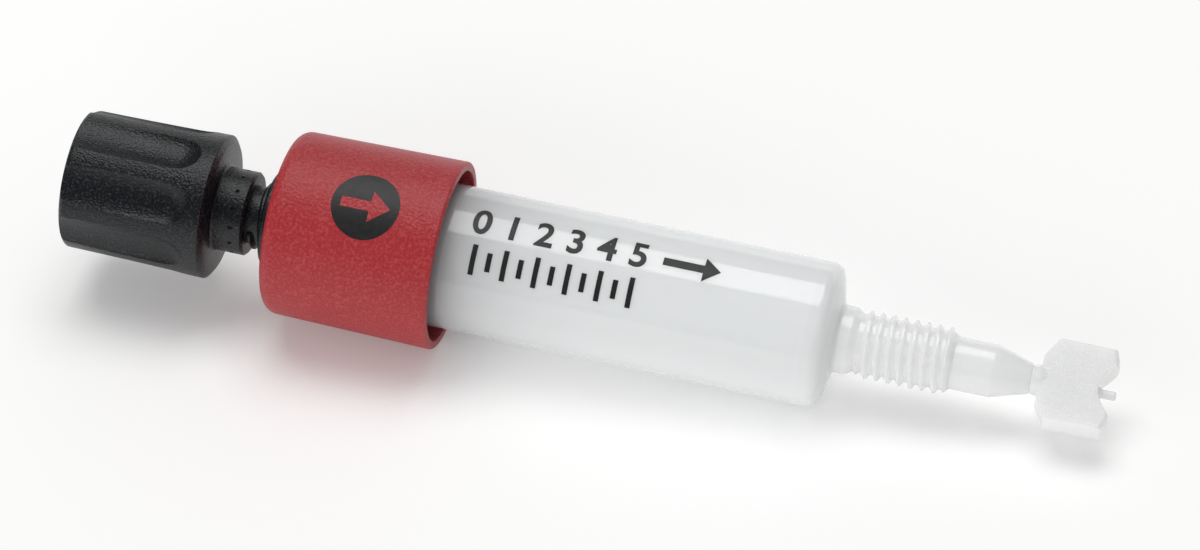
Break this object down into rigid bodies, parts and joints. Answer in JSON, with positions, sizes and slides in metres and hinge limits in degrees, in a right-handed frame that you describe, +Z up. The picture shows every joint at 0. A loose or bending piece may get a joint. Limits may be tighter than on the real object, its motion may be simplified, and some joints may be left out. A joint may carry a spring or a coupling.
{
  "type": "prepacked chromatography column",
  "caption": "Small lab column: fluted black stopper, red collar, clear tube of resin, threaded outlet with a twist-off tab.",
  "frame": {"origin": "middle of the box's underside, on the surface that the column lies on", "axes": "+X along the column from the knob to the outlet tab, +Z up, the viewer's side is -Y"},
  "size_m": [0.0738, 0.0132, 0.014],
  "materials": {
    "black_plastic": "fine spark-eroded grain, matte",
    "red_plastic": "fine grain, satin",
    "natural_plastic": "natural translucent, smooth",
    "frit": "porous, matte",
    "resin": "settled fine beads, matte"
  },
  "bodies": {
    "column": {"barrel": "natural_plastic", "collar": "red_plastic", "top_adapter": "black_plastic", "top_frit": "frit", "packed_bed": "resin", "bottom_frit": "frit"},
    "stopper": {"inlet_stopper": "black_plastic"}
  },
  "joints": [
    {"name": "stopper_out", "type": "slide", "parent": "column", "child": "stopper", "axis": [-0.9981, 0, 0.062], "range_m": [0, 0.0065]}
  ]
}
